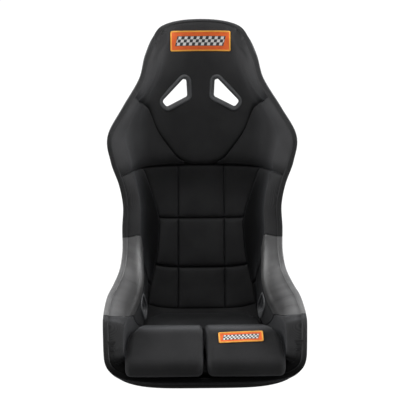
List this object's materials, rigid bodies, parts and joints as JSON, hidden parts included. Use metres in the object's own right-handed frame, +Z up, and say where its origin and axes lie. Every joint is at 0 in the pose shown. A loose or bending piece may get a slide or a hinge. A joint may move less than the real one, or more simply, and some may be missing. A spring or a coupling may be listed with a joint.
{
  "type": "racing seat",
  "caption": "Fixed-back racing seat: a deep moulded shell with padded bolsters, a quilted back cushion, belt openings and lift-out seat cushions.",
  "frame": {"origin": "on the flat underside of the shell, on the middle plane between left and right", "axes": "+Z up, -Y the way the seat faces, +X to the right as seen from the front"},
  "size_m": [0.531, 0.6455, 0.8675],
  "materials": {
    "laminate": "black fibre-reinforced laminate, satin",
    "fabric": "black knitted mesh fabric, matt",
    "vinyl": "black vinyl, smooth with a soft sheen",
    "foam": "dark grey polyurethane foam, matt",
    "plastic": "dark grey moulded plastic, satin",
    "steel": "zinc-plated steel",
    "hook": "black hook-and-loop strip",
    "patch": "orange woven patch, matt"
  },
  "bodies": {
    "seat_body": {"shell": "laminate", "rim_trim_front": "fabric", "rim_trim_back": "fabric", "rim_trim_hip_right": "vinyl", "rim_trim_hip_left": "vinyl", "head_panel": "fabric", "shoulder_panel_left": "fabric", "side_bolster_left": "fabric", "hip_panel_left": "fabric", "thigh_bolster_left": "fabric", "wear_panel_left": "vinyl", "shoulder_panel_right": "fabric", "side_bolster_right": "fabric", "hip_panel_right": "fabric", "thigh_bolster_right": "fabric", "wear_panel_right": "vinyl", "pan_liner": "fabric", "back_cushion_cover": "fabric", "back_cushion_foam": "foam", "seat_hook_strip_left": "hook", "seat_hook_strip_right": "hook", "crotch_belt_bezel": "plastic", "side_mount_pad_front_left": "laminate", "side_mount_insert_front_left": "steel", "side_mount_pad_front_right": "laminate", "side_mount_insert_front_right": "steel", "side_mount_pad_rear_left": "laminate", "side_mount_insert_rear_left": "steel", "side_mount_pad_rear_right": "laminate", "side_mount_insert_rear_right": "steel", "head_patch": "patch", "shoulder_belt_bezel_left": "plastic", "shoulder_belt_backing_left": "plastic", "shoulder_belt_screw_left_1": "steel", "shoulder_belt_screw_left_2": "steel", "shoulder_belt_screw_left_3": "steel", "lap_belt_bezel_left": "plastic", "lap_belt_backing_left": "plastic", "lap_belt_screw_left_1": "steel", "lap_belt_screw_left_2": "steel", "shoulder_belt_bezel_right": "plastic", "shoulder_belt_backing_right": "plastic", "shoulder_belt_screw_right_1": "steel", "shoulder_belt_screw_right_2": "steel", "shoulder_belt_screw_right_3": "steel", "lap_belt_bezel_right": "plastic", "lap_belt_backing_right": "plastic", "lap_belt_screw_right_1": "steel", "lap_belt_screw_right_2": "steel"},
    "seat_cushion": {"seat_cushion_cover": "fabric", "seat_cushion_foam": "foam", "leg_pad_hook_strip_left": "hook", "leg_pad_hook_strip_right": "hook"},
    "leg_pad_left": {"leg_pad_cover_left": "fabric", "leg_pad_foam_left": "foam"},
    "leg_pad_right": {"leg_pad_cover_right": "fabric", "leg_pad_foam_right": "foam", "leg_pad_patch": "patch"}
  },
  "joints": [
    {"name": "seat_cushion_lift", "type": "slide", "parent": "seat_body", "child": "seat_cushion", "axis": [0, -0.3401, 0.9404], "range_m": [0, 0.12]},
    {"name": "leg_pad_left_lift", "type": "slide", "parent": "seat_cushion", "child": "leg_pad_left", "axis": [0, -0.3401, 0.9404], "range_m": [0, 0.08]},
    {"name": "leg_pad_right_lift", "type": "slide", "parent": "seat_cushion", "child": "leg_pad_right", "axis": [0, -0.3401, 0.9404], "range_m": [0, 0.08]}
  ]
}
